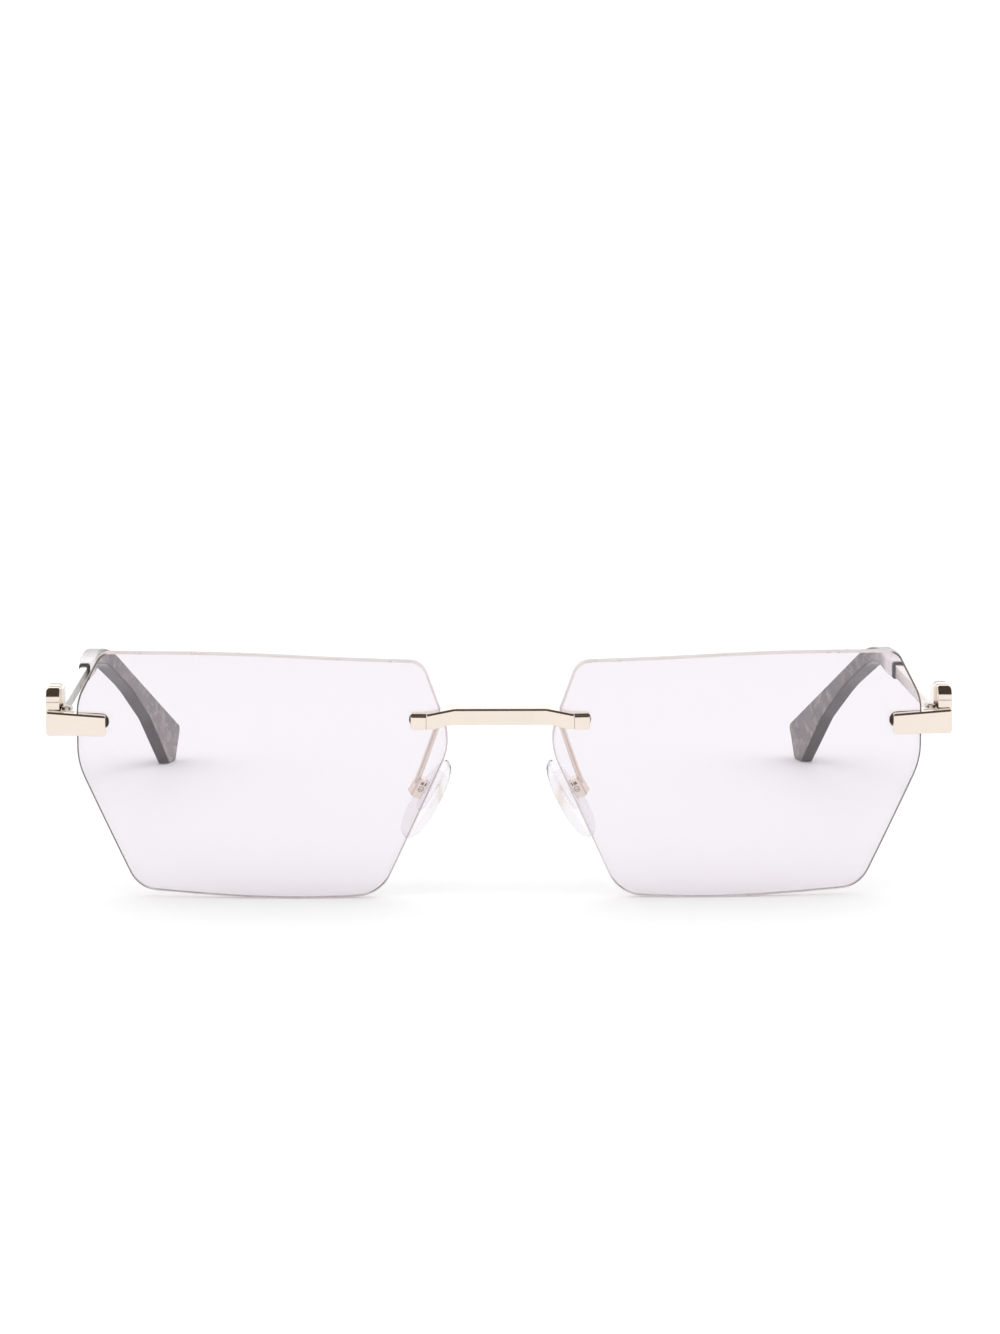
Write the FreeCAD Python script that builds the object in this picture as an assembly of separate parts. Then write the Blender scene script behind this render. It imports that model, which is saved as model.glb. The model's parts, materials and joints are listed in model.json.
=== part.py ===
"""Rimless eyeglasses: two drilled lenses held by a bridge, two endpieces and their clamps.

Millimetres. X runs to the wearer's left, Y backwards to the ears and Z up. The glasses stand
open on their lenses and temple tips, and the origin is the bottom centre of that box.

The front (lenses, bridge, clamps, nose pads) is drawn upright with the lens front at y = 0
and the lens bottom at z = 0, then leaned forward by FRONT_TILT. Hinges and temples are drawn
as they stand. Every piece of a pair is drawn on the left (+X) and mirrored to the right.
"""
import FreeCAD, Part
import math
import os
from FreeCAD import Placement, Rotation, Vector

# Lenses
LENS_WIDTH = 58.0
LENS_HEIGHT = 39.5
BRIDGE_GAP = 17.0
LENS_THICK = 2.0
LENS_RADIUS = 150.0
LENS_WRAP = 3.0
FRONT_TILT = 5.0

# Clamps: one screw in a sleeve through each end of each lens
BRIDGE_SCREW = (12.2, 28.8)
ENDPIECE_SCREW = (63.9, 27.9)
SLEEVE_RADIUS = 0.85
SLEEVE_BORE = 0.52
SHANK_RADIUS = 0.5
THREAD_DEPTH = 0.75
BACK_PLATE_THICK = 0.8
HEAD_RADIUS = 0.95
HEAD_THICK = 0.4
SLOT_WIDTH = 0.25
SLOT_DEPTH = 0.2
GAP = 0.01

# Hinge
HINGE_X = 68.2
HINGE_Y = 5.8
KNUCKLE_RADIUS = 1.0
KNUCKLE_BORE = 0.53
PIN_RADIUS = 0.5
HINGE_BOTTOM = 26.1
KNUCKLE_HEIGHTS = (1.1, 1.14, 1.1)
WASHER_THICK = 0.14
WASHER_GAP = 0.02

# Temple
TEMPLE_INNER = 69.3
BLOCK_OUTER = 71.4
BAR_OUTER = 70.5
BLOCK_FRONT = 3.5
BLOCK_BACK = 12.5
BLOCK_BOTTOM = 25.7
BLOCK_TOP = 33.2
BLOCK_SLOPE = 1.3
BAR_BACK = 77.7
COLLAR_LENGTH = 1.0
TIP_BACK = 150.0

# Nose pads, from the bridge's centre line
PAD_CENTRE = Vector(11.4, 13.2, 13.2)
PAD_UP = Vector(-0.50, -0.06, 0.863)
PAD_FACING = Vector(-0.797, 0.422, -0.431)
PAD_LENGTH = 14.5
PAD_THICK = 2.2
PAD_ROCK_HEIGHT = 1.5
PAD_PIVOT_BACK = 2.7
BOX_HALF_WIDTH = 0.95
BOX_HALF_HEIGHT = 1.6
BOX_BACK = 1.05
BOX_FRONT = 1.0
BOX_WALL = 0.3
PAD_HEAD_THICK = 0.3
PAD_HEAD_RADIUS = 0.45
PAD_HEAD_SUNK = 0.2
ARM_RADIUS = 0.45

# Finishing of the metal
TOP_BEVEL = 0.28
END_BEVEL = 0.5
END_SEAM = 11.6
SEAM_WIDTH = 0.08

UP = Vector(0, 0, 1)
PLANES = {
    "XZ": (Vector(1, 0, 0), Vector(0, 0, 1), Vector(0, 1, 0)),
    "XY": (Vector(1, 0, 0), Vector(0, 1, 0), Vector(0, 0, 1)),
    "YZ": (Vector(0, 1, 0), Vector(0, 0, 1), Vector(1, 0, 0)),
}


# ---------------------------------------------------------------- drawing helpers
def corner_arc(before, corner, after, radius):
    """Start, middle and end of the arc that rounds one corner."""
    to_before = (before - corner).normalize()
    to_after = (after - corner).normalize()
    half_angle = to_before.getAngle(to_after) / 2
    reach = radius / math.tan(half_angle)
    towards = (to_before + to_after).normalize()
    middle = corner + towards * (radius / math.sin(half_angle) - radius)
    return corner + to_before * reach, middle, corner + to_after * reach


def rounded_wire(corners, radii, closed=True):
    """Wire through the corners, with an arc of its own radius at each."""
    count = len(corners)
    edges = []
    pen = None
    first = None
    for i, corner in enumerate(corners):
        is_end = not closed and i in (0, count - 1)
        if radii[i] and not is_end:
            start, middle, end = corner_arc(corners[i - 1], corner, corners[(i + 1) % count], radii[i])
        else:
            start, middle, end = corner, None, corner
        if pen is not None:
            edges.append(Part.LineSegment(pen, start).toShape())
        if middle is not None:
            edges.append(Part.Arc(start, middle, end).toShape())
        first = first or start
        pen = end
    if closed:
        edges.append(Part.LineSegment(pen, first).toShape())
    return Part.Wire(edges)


def prism(points, plane, low, high):
    """Solid of an outline, given as (u, v, corner radius), between two levels of its plane."""
    across, along, normal = PLANES[plane]
    corners = [across * u + along * v + normal * low for u, v, _ in points]
    wire = rounded_wire(corners, [radius for _, _, radius in points])
    return Part.Face(wire).extrude(normal * (high - low))


def box(low, high):
    size = [high[i] - low[i] for i in range(3)]
    return Part.makeBox(size[0], size[1], size[2], Vector(*low))


def rod(radius, low, high, axis=Vector(0, 1, 0)):
    """Cylinder on an axis through the origin, from one distance along it to another."""
    return Part.makeCylinder(radius, high - low, axis * low, axis)


def tube(radius, bore, low, high, axis=Vector(0, 1, 0)):
    return rod(radius, low, high, axis).cut(rod(bore, low - 1, high + 1, axis))


def mirrored(shape):
    return shape.mirror(Vector(0, 0, 0), Vector(1, 0, 0))


def both_sides(points):
    """Outline of a symmetric piece from the points of its left half."""
    return points + [(-u, v, radius) for u, v, radius in reversed(points)]


def soften(shape, radius, wanted):
    """Round the edges that the test picks."""
    return shape.makeFillet(radius, [edge for edge in shape.Edges if wanted(edge)])


def bevel_cutter(width, corner, turn, low, high):
    """Block that takes a 45-degree bevel off a front-top edge through a corner, along its local X."""
    reach = 1.0
    shape = prism([(-reach, -reach - width, 0), (reach + width, reach, 0), (-reach, reach, 0)],
                  "YZ", low, high)
    return placed(shape, Placement(corner, turn))


# ---------------------------------------------------------------- lens surfaces
LENS_CENTRE_X = (BRIDGE_GAP + LENS_WIDTH) / 2
WRAP = math.radians(LENS_WRAP)
BALL_CENTRE = Vector(LENS_CENTRE_X - LENS_RADIUS * math.sin(WRAP),
                     LENS_RADIUS * math.cos(WRAP), LENS_HEIGHT / 2)


def ball(depth):
    """Ball whose surface lies this far behind the lens front."""
    return Part.makeSphere(LENS_RADIUS - depth, BALL_CENTRE)


def layer(front, back):
    """Curved layer between two depths behind the lens front."""
    return ball(front).cut(ball(back))


def lens_blank(low=-5, high=12):
    """The lens's outline as a straight-sided block."""
    nasal = BRIDGE_GAP / 2
    temporal = nasal + LENS_WIDTH
    top = LENS_HEIGHT
    outline = [
        (nasal + 3.6, top - 1.5, 3.0),
        (nasal + 34.5, top + 0.05, 260.0),
        (temporal - 3.9, top - 0.5, 2.4),
        (temporal, top - 8.1, 8.0),
        (temporal, 21.4, 12.0),
        (temporal - 9.4, 1.0, 5.0),
        (nasal + 25.0, -0.25, 200.0),
        (nasal + 10.3, 0.35, 6.0),
        (nasal - 1.0, 25.3, 9.0),
    ]
    return prism(outline, "XZ", low, high)


def on_lens(spot):
    """Placement on the lens front at (x, z), with its own +Y straight into the lens."""
    x, z = spot
    across = x - BALL_CENTRE.x
    up = z - BALL_CENTRE.z
    y = BALL_CENTRE.y - math.sqrt(LENS_RADIUS ** 2 - across ** 2 - up ** 2)
    inward = (BALL_CENTRE - Vector(x, y, z)).normalize()
    turn = math.degrees(math.atan2(-inward.x, inward.y))
    lean = math.degrees(math.asin(inward.z))
    rotation = Rotation(Vector(0, 0, 1), turn) * Rotation(Vector(1, 0, 0), lean)
    return Placement(Vector(x, y, z), rotation)


def placed(shape, placement):
    moved = shape.copy()
    moved.transformShape(placement.toMatrix(), False)
    return moved


# ---------------------------------------------------------------- front
def lens():
    glass = lens_blank().common(layer(0, LENS_THICK))
    for spot in (BRIDGE_SCREW, ENDPIECE_SCREW):
        glass = glass.cut(placed(rod(SLEEVE_RADIUS + GAP, -2, 5), on_lens(spot)))
    return glass


def sleeve(spot):
    """Clear sleeve that keeps the screw off the lens."""
    return placed(tube(SLEEVE_RADIUS, SLEEVE_BORE, GAP, LENS_THICK - GAP), on_lens(spot))


def clamp_screw(spot):
    """Slotted screw from the back plate into the front piece."""
    seat = LENS_THICK + BACK_PLATE_THICK
    head = rod(HEAD_RADIUS, seat + GAP, seat + HEAD_THICK)
    shank = rod(SHANK_RADIUS, GAP - THREAD_DEPTH, seat + GAP)
    top = seat + HEAD_THICK
    slot = box((-HEAD_RADIUS, top - SLOT_DEPTH, -SLOT_WIDTH / 2),
               (HEAD_RADIUS, top + 1, SLOT_WIDTH / 2))
    return placed(head.fuse(shank).cut(slot), on_lens(spot))


def threaded_hole(spot):
    return placed(rod(SHANK_RADIUS + GAP, -THREAD_DEPTH, 1), on_lens(spot))


def back_plate(points, spot):
    """Clamp plate that follows the back of the lens."""
    plate = prism(points, "XZ", 0, 12)
    plate = plate.common(layer(LENS_THICK + GAP, LENS_THICK + BACK_PLATE_THICK))
    return plate.cut(placed(rod(SHANK_RADIUS + GAP, 0, 8), on_lens(spot)))


def bridge_back_plate():
    return back_plate([(6.7, 27.65, 0.3), (14.35, 27.65, 1.0), (14.35, 29.75, 1.0), (6.7, 29.75, 0.3)],
                      BRIDGE_SCREW)


def endpiece_back_plate():
    return back_plate([(61.3, 26.65, 1.15), (66.7, 26.65, 0.2), (66.7, 29.1, 0.2), (61.3, 29.1, 1.15)],
                      ENDPIECE_SCREW)


def bridge():
    """Raised bar across the nose with a flat pad on each lens and a lug round its edge."""
    face = both_sides([
        (7.2, 31.1, 4.0), (11.3, 30.2, 4.0), (14.05, 30.2, 0.35),
        (14.05, 27.75, 0.35), (10.3, 27.85, 4.0), (7.9, 28.6, 4.0)])
    plan = both_sides([
        (7.0, -1.1, 6.0), (14.05, -0.7, 0.3), (14.05, 1.5, 0), (8.15, 1.5, 0.3),
        (8.15, 4.6, 0), (6.75, 4.6, 0), (6.2, 1.2, 1.0)])
    bar = prism(face, "XZ", -6, 8).common(prism(plan, "XY", 20, 40))
    downhill = Rotation(UP, 3.2) * Rotation(Vector(0, 1, 0), 12.4)
    level = Rotation()
    cutters = [
        bevel_cutter(TOP_BEVEL, Vector(0, -1.1, 31.1), level, -1, 8.0),
        bevel_cutter(TOP_BEVEL, Vector(7.2, -1.09, 31.1), downhill, -0.5, 4.4),
        bevel_cutter(END_BEVEL, Vector(END_SEAM, -0.82, 30.2), Rotation(UP, 3.2), 0, 4),
        box((END_SEAM - SEAM_WIDTH / 2, -3, 20), (END_SEAM + SEAM_WIDTH / 2, -0.75, 40)),
    ]
    for cutter in cutters:
        bar = bar.cut(cutter).cut(mirrored(cutter))
    holes = threaded_hole(BRIDGE_SCREW)
    in_the_way = [lens_blank().common(ball(-GAP)), ball(LENS_THICK), holes]
    for shape in in_the_way:
        bar = bar.cut(shape).cut(mirrored(shape))
    return bar


def pad_frame():
    """Placement of the pad: its width is X, the way it faces is Y and its length is Z."""
    facing = Vector(PAD_FACING).normalize()
    up = (PAD_UP - facing * PAD_UP.dot(facing)).normalize()
    width = facing.cross(up)
    return Placement(PAD_CENTRE, Rotation(width, facing, up, "ZYX"))


def pad_pivot():
    return Vector(0, -PAD_PIVOT_BACK, PAD_ROCK_HEIGHT)


def pad_core():
    """Stiff plate moulded into the pad, with the drilled tab that the box holds."""
    middle = PAD_ROCK_HEIGHT
    plate = prism([(-1.3, middle - 3.6, 1.2), (1.3, middle - 3.6, 1.2),
                   (1.3, middle + 3.6, 1.2), (-1.3, middle + 3.6, 1.2)], "XZ", -0.45, 0.05)
    tab = prism([(-PAD_PIVOT_BACK - 0.65, middle - 0.65, 0.6), (-0.4, middle - 0.65, 0),
                 (-0.4, middle + 0.65, 0), (-PAD_PIVOT_BACK - 0.65, middle + 0.65, 0.6)],
                "YZ", -0.4, 0.4)
    hole = placed(rod(0.36, -2, 2, Vector(1, 0, 0)), Placement(pad_pivot(), Rotation()))
    return plate.fuse(tab).cut(hole).removeSplitter()


def nose_pad():
    """Soft drop-shaped pad with the core inside."""
    half = PAD_LENGTH / 2
    drop = prism([(-2.7, half, 2.6), (2.7, half, 2.6), (3.9, -half, 3.4), (-3.9, -half, 3.4)],
                 "XZ", -PAD_THICK / 2, PAD_THICK / 2)
    drop = soften(drop, 0.8, lambda edge: abs(edge.BoundBox.YMax - edge.BoundBox.YMin) < 1e-6)
    return drop.cut(pad_core())


def pad_box():
    """Open metal box that carries the pad's tab."""
    pivot = pad_pivot()
    outer = box((-BOX_HALF_WIDTH, pivot.y - BOX_BACK, pivot.z - BOX_HALF_HEIGHT),
                (BOX_HALF_WIDTH, pivot.y + BOX_FRONT, pivot.z + BOX_HALF_HEIGHT))
    outer = soften(outer, 0.35, lambda edge: edge.BoundBox.XLength > 1.5 or edge.BoundBox.ZLength > 2)
    hollow = box((-0.6, pivot.y - BOX_BACK + BOX_WALL, pivot.z - BOX_HALF_HEIGHT + BOX_WALL),
                 (0.6, pivot.y + 2, pivot.z + BOX_HALF_HEIGHT - BOX_WALL))
    outward = Vector(-1, 0, 0)
    bore = placed(rod(0.32, -2, 2, outward), Placement(pivot, Rotation()))
    seat = rod(PAD_HEAD_RADIUS + 0.05, BOX_HALF_WIDTH - PAD_HEAD_SUNK, 2, outward)
    window = box((-2, pivot.y - 0.55, pivot.z + 0.72), (0, pivot.y + 0.45, pivot.z + 1.25))
    return outer.cut([hollow, bore, placed(seat, Placement(pivot, Rotation())), window])


def pad_screw():
    axis = Vector(-1, 0, 0)
    face = BOX_HALF_WIDTH - PAD_HEAD_SUNK + GAP
    top = face + PAD_HEAD_THICK
    shank = rod(0.3, -BOX_HALF_WIDTH, face, axis)
    head = rod(PAD_HEAD_RADIUS, face, top, axis)
    slot = box((-top - 1, -1, -0.1), (0.13 - top, 1, 0.1))
    return placed(shank.fuse(head).cut(slot), Placement(pad_pivot(), Rotation()))


def pad_arm():
    """Wire from the bridge's back plate, back and then down to the pad box."""
    box_back = pad_frame().multVec(pad_pivot() + Vector(0, 0.2 - BOX_BACK, 0.5))
    root = Vector(9.3, 4.4, 28.7)
    elbow = Vector(9.3, 7.4, 28.3)
    knee = box_back + Vector(-1.1, -0.9, 3.0)
    path = rounded_wire([root, elbow, knee, box_back], [0, 2.0, 2.2, 0], closed=False)
    start = Part.Wire(Part.makeCircle(ARM_RADIUS, root, elbow - root))
    arm = path.makePipeShell([start], True, True)
    arm = arm.cut(bridge_back_plate()).cut(placed(pad_box(), pad_frame()))
    return max(arm.Solids, key=lambda solid: solid.Volume)


# ---------------------------------------------------------------- endpiece and hinge
def endpiece_plate():
    """Front of the endpiece, over the temporal end of the lens."""
    face = prism([(61.9, 26.1, 0.3), (71.4, 25.8, 0.5), (71.4, 29.55, 0.5), (61.9, 29.3, 0.3)],
                 "XZ", 0, 9)
    plan = prism([(61.8, 2.3, 0.25), (71.4, 4.45, 0.7), (71.4, 5.7, 0.2), (66.8, 4.75, 0),
                  (66.8, 5.2, 0), (61.8, 5.2, 0)], "XY", 20, 40)
    plate = face.common(plan)
    uphill = Rotation(UP, 12.6) * Rotation(Vector(0, 1, 0), -1.5)
    plate = plate.cut(bevel_cutter(TOP_BEVEL, Vector(61.9, 2.32, 29.3), uphill, -1, 11))
    return plate.cut(lens_blank().common(ball(-GAP))).cut(threaded_hole(ENDPIECE_SCREW))


def knuckle_levels():
    """Bottom and top of each knuckle, from the lowest up."""
    levels = []
    low = HINGE_BOTTOM
    for height in KNUCKLE_HEIGHTS:
        levels.append((low, low + height))
        low += height + WASHER_THICK + 2 * WASHER_GAP
    return levels


def on_hinge(shape):
    return placed(shape, Placement(Vector(HINGE_X, HINGE_Y, 0), Rotation()))


def endpiece_knuckles():
    """Lower and upper knuckle, each with its web to the endpiece."""
    levels = knuckle_levels()
    pieces = []
    for low, high in (levels[0], levels[2]):
        barrel = rod(KNUCKLE_RADIUS, low, high, UP)
        web = box((-KNUCKLE_RADIUS, -1.15, low), (0.9, 0, high))
        pieces.append(on_hinge(barrel.fuse(web).cut(rod(KNUCKLE_BORE, 0, 50, UP)).removeSplitter()))
    return pieces


def temple_knuckle():
    """Middle knuckle with its web and the leaf on the inside of the temple block."""
    low, high = knuckle_levels()[1]
    leaf_inner = 0.7
    face = TEMPLE_INNER - HINGE_X
    barrel = rod(KNUCKLE_RADIUS, low, high, UP)
    web = box((0, -0.7, low), (face, 0.9, high))
    leaf = box((leaf_inner, 1.4, BLOCK_BOTTOM + 0.5), (face, BLOCK_BACK - HINGE_Y, BLOCK_TOP - 0.5))
    tongue = box((leaf_inner, 0.3, low), (face, 2.0, high))
    piece = barrel.fuse([web, tongue, leaf]).cut(rod(KNUCKLE_BORE, 0, 50, UP))
    return on_hinge(piece.removeSplitter())


def hinge_washers():
    levels = knuckle_levels()
    rings = []
    for below, above in ((levels[0], levels[1]), (levels[1], levels[2])):
        rings.append(on_hinge(tube(KNUCKLE_RADIUS - 0.05, KNUCKLE_BORE, below[1] + WASHER_GAP,
                                   above[0] - WASHER_GAP, UP)))
    return rings


def hinge_screw():
    top = knuckle_levels()[2][1]
    shank = rod(PIN_RADIUS, HINGE_BOTTOM - 0.15, top + GAP, UP)
    head = rod(0.88, top + GAP, top + 0.4, UP)
    slot = box((-1, -SLOT_WIDTH / 2, top + 0.22), (1, SLOT_WIDTH / 2, top + 1))
    return on_hinge(shank.fuse(head).cut(slot))


def return_arm():
    """Arm from the endpiece plate, round the lens edge, back to the knuckles."""
    top = knuckle_levels()[2][1]
    return box((66.95, 2.4, HINGE_BOTTOM), (69.1, HINGE_Y - 1.15, top))


# ---------------------------------------------------------------- temple
def temple_block():
    """Tall block at the front of the temple, with a sloped top corner and grooves round it."""
    profile = [(BLOCK_FRONT, BLOCK_BOTTOM, 0.4), (BLOCK_BACK, BLOCK_BOTTOM, 0.4),
               (BLOCK_BACK, BLOCK_TOP, 0.4), (BLOCK_FRONT + BLOCK_SLOPE, BLOCK_TOP, 0.2),
               (BLOCK_FRONT, BLOCK_TOP - BLOCK_SLOPE, 0.2)]
    section = prism([(TEMPLE_INNER, BLOCK_BOTTOM, 0.3), (BLOCK_OUTER, BLOCK_BOTTOM, 0.6),
                     (BLOCK_OUTER, BLOCK_TOP, 0.6), (TEMPLE_INNER, BLOCK_TOP, 0.3)], "XZ", 0, 20)
    block = prism(profile, "YZ", TEMPLE_INNER, BLOCK_OUTER).common(section)
    depth = 0.3
    for centre in (6.5, 9.5):
        ring = box((60, centre - 0.25, 20), (80, centre + 0.25, 40))
        kept = box((TEMPLE_INNER, centre - 1, BLOCK_BOTTOM + depth),
                   (BLOCK_OUTER - depth, centre + 1, BLOCK_TOP - depth))
        block = block.cut(ring.cut(kept))
    line = box((60, BLOCK_FRONT - 1, 31.0), (80, BLOCK_FRONT + 0.15, 31.15))
    return block.cut(line)


def temple_bar():
    """Slim flat bar that goes on as a round wire inside the tip."""
    side = prism([(BLOCK_BACK, 26.3, 0), (24.0, 26.35, 30.0), (BAR_BACK, 24.7, 0),
                  (BAR_BACK, 27.0, 0), (24.0, 28.7, 30.0), (BLOCK_BACK, 29.5, 0)],
                 "YZ", TEMPLE_INNER, BAR_OUTER)
    side = soften(side, 0.25, lambda edge: edge.BoundBox.XLength < 1e-6 and edge.BoundBox.YLength > 5)
    root = Vector(69.9, BAR_BACK - 1, 25.9)
    bend = Vector(69.95, 105.0, 25.4)
    end = Vector(61.5, 135.0, 10.6)
    path = rounded_wire([root, bend, end], [0, 30.0, 0], closed=False)
    core = path.makePipeShell([Part.Wire(Part.makeCircle(0.55, root, bend - root))], True, True)
    return side.fuse(core).removeSplitter()


def tip_collar(bar):
    """Dark ring between the bar and the tip."""
    end = BAR_BACK + COLLAR_LENGTH
    ring = prism([(68.95, 24.35, 0.5), (70.85, 24.35, 0.5), (70.85, 27.35, 0.5), (68.95, 27.35, 0.5)],
                 "XZ", BAR_BACK, end)
    return ring.cut(bar)


def temple_tip(bar):
    """Acetate tip: widening, straight, then bent down and inwards to an angular paddle."""
    front = BAR_BACK + COLLAR_LENGTH
    full = front + 8
    side = prism([(front, 27.3, 0), (107.5, 26.5, 28.0), (149.5, 6.0, 1.0), (146.3, 0, 0.8),
                  (142.4, 0, 0.8), (131.5, 9.8, 14.0), (120.0, 17.2, 60.0), (105.2, 24.2, 22.0),
                  (front, 24.4, 0)], "YZ", 50, 75)
    plan = prism([(70.8, front, 0), (71.25, full, 20.0), (71.35, 103.2, 40.0), (58.5, TIP_BACK, 0),
                  (56.5, TIP_BACK, 0), (68.65, 102.2, 38.0), (68.6, full, 20.0), (69.0, front, 0)],
                 "XY", -5, 40)
    tip = side.common(plan)
    tip = soften(tip, 0.3, lambda edge: edge.BoundBox.YLength > 8)
    return tip.cut(bar)


# ---------------------------------------------------------------- assembly
def build():
    """Every node's shape by name, standing on z = 0."""
    glass = lens()
    tilt = Placement(Vector(), Rotation(Vector(1, 0, 0), FRONT_TILT))
    sunk = placed(glass, tilt).optimalBoundingBox().ZMin
    stand = Placement(Vector(0, 0, -sunk), Rotation()) * tilt
    pad = pad_frame()
    bar = temple_bar()

    front = {
        "lens": glass,
        "lens_sleeves": Part.makeCompound([sleeve(BRIDGE_SCREW), sleeve(ENDPIECE_SCREW)]),
        "bridge_clamp_screw": clamp_screw(BRIDGE_SCREW),
        "endpiece_clamp_screw": clamp_screw(ENDPIECE_SCREW),
        "bridge_back_plate": bridge_back_plate(),
        "endpiece_back_plate": endpiece_back_plate(),
        "pad_arm": pad_arm(),
        "pad_box": placed(pad_box(), pad),
        "pad_screw": placed(pad_screw(), pad),
        "pad_core": placed(pad_core(), pad),
        "nose_pad": placed(nose_pad(), pad),
    }
    left = {name: placed(shape, stand) for name, shape in front.items()}
    left["endpiece"] = placed(endpiece_plate(), stand).fuse(return_arm()).removeSplitter()
    left["endpiece_knuckles"] = Part.makeCompound(endpiece_knuckles())
    left["temple_knuckle"] = temple_knuckle()
    left["hinge_washers"] = Part.makeCompound(hinge_washers())
    left["hinge_screw"] = hinge_screw()
    left["temple_block"] = temple_block()
    left["temple_bar"] = bar
    left["tip_collar"] = tip_collar(bar)
    left["temple_tip"] = temple_tip(bar)

    nodes = {"bridge": placed(bridge(), stand)}
    for name, shape in left.items():
        nodes[name + "_left"] = shape
        nodes[name + "_right"] = mirrored(shape)
    return nodes


def main():
    os.makedirs("parts", exist_ok=True)
    nodes = build()
    whole = Part.makeCompound([nodes["bridge"], nodes["temple_tip_left"]]).optimalBoundingBox()
    shift = Vector(0, -(whole.YMin + whole.YMax) / 2, 0)
    for name, shape in nodes.items():
        shape = shape.copy()
        shape.translate(shift)
        shape.exportStep("parts/" + name + ".step")
        print(name, "solids", len(shape.Solids), "valid", shape.isValid(), "volume", round(shape.Volume, 3))
    print("origin shift in y:", round(shift.y, 4))


main()
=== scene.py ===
"""The looks of a pair of rimless eyeglasses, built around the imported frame.

Metres, in the frame's own axes: X to the wearer's left, Y back to the ears and Z up. Lenses and
nose pads are drawn with the front upright, as it is before its lean, and then placed by STAND.
"""
import bmesh
import bpy
import json
import math
from mathutils import Matrix, Vector

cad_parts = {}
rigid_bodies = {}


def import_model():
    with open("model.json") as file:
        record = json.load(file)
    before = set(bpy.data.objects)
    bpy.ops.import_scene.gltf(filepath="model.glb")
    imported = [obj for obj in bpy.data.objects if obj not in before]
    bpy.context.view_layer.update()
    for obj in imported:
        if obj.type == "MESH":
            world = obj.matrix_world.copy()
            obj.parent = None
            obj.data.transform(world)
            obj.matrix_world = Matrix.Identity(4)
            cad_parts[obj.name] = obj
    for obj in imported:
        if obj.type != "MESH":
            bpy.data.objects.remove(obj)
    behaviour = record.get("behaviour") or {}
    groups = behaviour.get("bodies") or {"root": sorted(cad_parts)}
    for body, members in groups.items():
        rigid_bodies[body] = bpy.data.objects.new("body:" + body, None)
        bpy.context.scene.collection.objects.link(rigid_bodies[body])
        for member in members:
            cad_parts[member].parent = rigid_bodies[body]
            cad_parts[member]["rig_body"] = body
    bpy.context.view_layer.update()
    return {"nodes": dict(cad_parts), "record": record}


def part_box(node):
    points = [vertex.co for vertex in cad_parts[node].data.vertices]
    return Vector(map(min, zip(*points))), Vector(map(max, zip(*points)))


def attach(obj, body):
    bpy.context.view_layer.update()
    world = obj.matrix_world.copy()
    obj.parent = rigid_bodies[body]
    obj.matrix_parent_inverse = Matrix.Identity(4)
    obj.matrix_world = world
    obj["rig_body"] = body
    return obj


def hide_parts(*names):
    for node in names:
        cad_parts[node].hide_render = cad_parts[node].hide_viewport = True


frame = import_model()

SLOT_OF = {part["node"]: part["material_slot"] for part in frame["record"]["subparts"]}
MM = 0.001
SIDES = ("left", "right")
UP = Vector((0, 0, 1))
MIRROR = Matrix.Scale(-1, 4, (1, 0, 0))

# Lenses, upright: outline corners (x, z, corner radius) of the left one, in millimetres
LENS_OUTLINE = [
    (12.1, 38.0, 3.0), (43.0, 39.55, 260.0), (62.6, 39.0, 2.4), (66.5, 31.4, 8.0), (66.5, 21.4, 12.0),
    (57.1, 1.0, 5.0), (33.5, -0.25, 200.0), (18.8, 0.35, 6.0), (7.5, 25.3, 9.0)]
LENS_MIDDLE = Vector((37.5, 0, 19.75))
LENS_THICK = 2.0
LENS_SHARP_ANGLE = 15
BALL_RADIUS = 150.0
WRAP = math.radians(3)
LEAN = math.radians(5)
BALL_CENTRE = Vector((LENS_MIDDLE.x - BALL_RADIUS * math.sin(WRAP), BALL_RADIUS * math.cos(WRAP),
                      LENS_MIDDLE.z))
HOLE_RADIUS = 0.86
HOLE_CUTTER_LENGTH = 8.0
BEVEL_DEPTH = 0.22  # share of the lens's thickness that its two safety bevels take

# Nose pads, upright, in millimetres
PAD_CENTRE = Vector((11.4, 13.2, 13.2))
PAD_UP = Vector((-0.50, -0.06, 0.863))
PAD_FACING = Vector((-0.797, 0.422, -0.431))
PAD_HALF_LENGTH = 7.2
PAD_HALF_WIDTH = 3.25
PAD_TAPER = 0.62
PAD_SQUARENESS = 2.35
PAD_HOLLOW = 0.10
PAD_AROUND = 64
PAD_SHARP_ANGLE = 80
# Section of the pad, from the middle of its front to the middle of its back: share of the way out, height
PAD_SECTION = [
    (0.0, 1.08), (0.35, 1.06), (0.62, 0.98), (0.82, 0.8), (0.94, 0.5), (1.0, 0.05),
    (0.98, -0.45), (0.9, -0.82), (0.74, -1.02), (0.45, -1.08), (0.0, -1.09)]

# Screws, in millimetres: height of the head, radius of the shank, depth of the slot
CLAMP_SCREW = (0.39, 0.5, 0.2)
HINGE_SCREW = (0.39, 0.5, 0.18)
PAD_SCREW = (0.3, 0.3, 0.13)
SLOT_WIDTH = 0.25
THREAD_PITCH = 0.25
SCREW_SHARP_ANGLE = 35
HEAD_BAND = 0.1  # how much of a plain screw's end tells where its axis runs
AXIS_ROUNDS = 3

# Camera
CAMERA_PLACE = (-0.015, -0.8727, 0.1444)
CAMERA_DOWN = math.radians(7.646)
CAMERA_TURN = math.radians(1.074)
CAMERA_LENS = 138.98
SENSOR = 36.0
CLIP_START = 0.01

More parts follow.
